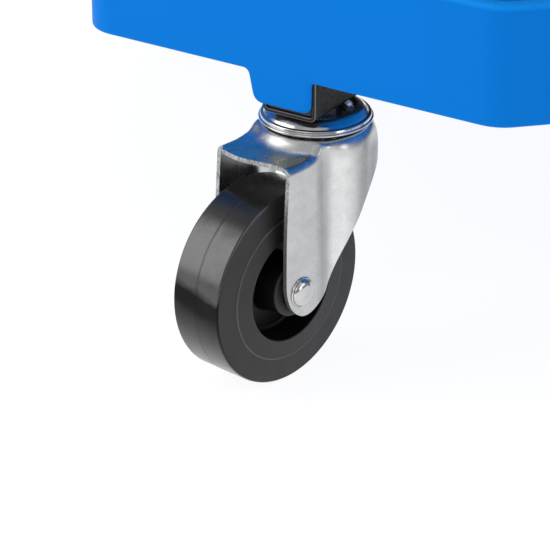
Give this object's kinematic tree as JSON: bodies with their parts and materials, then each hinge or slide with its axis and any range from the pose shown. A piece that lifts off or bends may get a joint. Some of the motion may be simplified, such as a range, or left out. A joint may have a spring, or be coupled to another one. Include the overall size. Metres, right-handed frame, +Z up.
{
  "type": "creeper seat",
  "caption": "Low rolling workshop seat: padded top on steel legs, blue moulded tool tray and a square-tube cross base on swivel casters.",
  "frame": {"origin": "on the floor, at the centre of the base", "axes": "+Z up; +X right, +Y to the back; the tray's flats face X and Y and its corner faces the diagonals"},
  "size_m": [0.449, 0.452, 0.392],
  "materials": {
    "zinc": "bright zinc plating on stamped sheet, fine grain",
    "ball_steel": "plain hardened steel, greased",
    "black_steel": "fine-textured black powder coat",
    "blue_plastic": "smooth satin moulded plastic, bright blue",
    "black_plastic": "satin black moulding",
    "tyre_rubber": "hard black rubber, semi-gloss, with a mould parting line",
    "plywood": "raw plywood",
    "foam": "cut upholstery foam",
    "black_vinyl": "grained black vinyl with a welt seam"
  },
  "bodies": {
    "frame": {"caster_front_left_cap": "zinc", "caster_front_left_stem": "zinc", "caster_front_left_stem_nut": "zinc", "caster_front_right_cap": "zinc", "caster_front_right_stem": "zinc", "caster_front_right_stem_nut": "zinc", "caster_rear_right_cap": "zinc", "caster_rear_right_stem": "zinc", "caster_rear_right_stem_nut": "zinc", "caster_rear_left_cap": "zinc", "caster_rear_left_stem": "zinc", "caster_rear_left_stem_nut": "zinc", "base_tube_long": "black_steel", "base_tube_short_right": "black_steel", "base_tube_short_left": "black_steel", "tube_plug_front_left": "black_plastic", "tube_plug_front_right": "black_plastic", "tube_plug_rear_right": "black_plastic", "tube_plug_rear_left": "black_plastic", "tool_tray": "blue_plastic", "leg_front_left": "black_steel", "leg_bolt_front_left": "zinc", "seat_screw_front_left": "zinc", "leg_front_right": "black_steel", "leg_bolt_front_right": "zinc", "seat_screw_front_right": "zinc", "leg_rear_right": "black_steel", "leg_bolt_rear_right": "zinc", "seat_screw_rear_right": "zinc", "leg_rear_left": "black_steel", "leg_bolt_rear_left": "zinc", "seat_screw_rear_left": "zinc", "seat_plate": "black_steel", "seat_board": "plywood", "seat_foam": "foam", "seat_cover": "black_vinyl"},
    "caster_front_left_swivel": {"caster_front_left_ball_race": "ball_steel", "caster_front_left_fork": "zinc", "caster_front_left_axle_rivet": "zinc", "caster_front_left_axle_sleeve": "ball_steel"},
    "caster_front_left_wheel": {"caster_front_left_wheel_hub": "black_plastic", "caster_front_left_wheel_tyre": "tyre_rubber"},
    "caster_front_right_swivel": {"caster_front_right_ball_race": "ball_steel", "caster_front_right_fork": "zinc", "caster_front_right_axle_rivet": "zinc", "caster_front_right_axle_sleeve": "ball_steel"},
    "caster_front_right_wheel": {"caster_front_right_wheel_hub": "black_plastic", "caster_front_right_wheel_tyre": "tyre_rubber"},
    "caster_rear_right_swivel": {"caster_rear_right_ball_race": "ball_steel", "caster_rear_right_fork": "zinc", "caster_rear_right_axle_rivet": "zinc", "caster_rear_right_axle_sleeve": "ball_steel"},
    "caster_rear_right_wheel": {"caster_rear_right_wheel_hub": "black_plastic", "caster_rear_right_wheel_tyre": "tyre_rubber"},
    "caster_rear_left_swivel": {"caster_rear_left_ball_race": "ball_steel", "caster_rear_left_fork": "zinc", "caster_rear_left_axle_rivet": "zinc", "caster_rear_left_axle_sleeve": "ball_steel"},
    "caster_rear_left_wheel": {"caster_rear_left_wheel_hub": "black_plastic", "caster_rear_left_wheel_tyre": "tyre_rubber"}
  },
  "joints": [
    {"name": "front_left_swivel", "type": "hinge", "parent": "frame", "child": "caster_front_left_swivel", "pos_m": [-0.15087, -0.15087, 0.09], "axis": [0, 0, 1], "continuous": true},
    {"name": "front_left_roll", "type": "hinge", "parent": "caster_front_left_swivel", "child": "caster_front_left_wheel", "pos_m": [-0.17282, -0.16607, 0.0375], "axis": [0.5693, -0.8221, 0], "continuous": true},
    {"name": "front_right_swivel", "type": "hinge", "parent": "frame", "child": "caster_front_right_swivel", "pos_m": [0.15087, -0.15087, 0.09], "axis": [0, 0, 1], "continuous": true},
    {"name": "front_right_roll", "type": "hinge", "parent": "caster_front_right_swivel", "child": "caster_front_right_wheel", "pos_m": [0.16607, -0.17282, 0.0375], "axis": [0.8221, 0.5693, 0], "continuous": true},
    {"name": "rear_right_swivel", "type": "hinge", "parent": "frame", "child": "caster_rear_right_swivel", "pos_m": [0.15087, 0.15087, 0.09], "axis": [0, 0, 1], "continuous": true},
    {"name": "rear_right_roll", "type": "hinge", "parent": "caster_rear_right_swivel", "child": "caster_rear_right_wheel", "pos_m": [0.17282, 0.16607, 0.0375], "axis": [-0.5693, 0.8221, 0], "continuous": true},
    {"name": "rear_left_swivel", "type": "hinge", "parent": "frame", "child": "caster_rear_left_swivel", "pos_m": [-0.15087, 0.15087, 0.09], "axis": [0, 0, 1], "continuous": true},
    {"name": "rear_left_roll", "type": "hinge", "parent": "caster_rear_left_swivel", "child": "caster_rear_left_wheel", "pos_m": [-0.14396, 0.17666, 0.0375], "axis": [-0.9659, 0.2588, 0], "continuous": true}
  ]
}
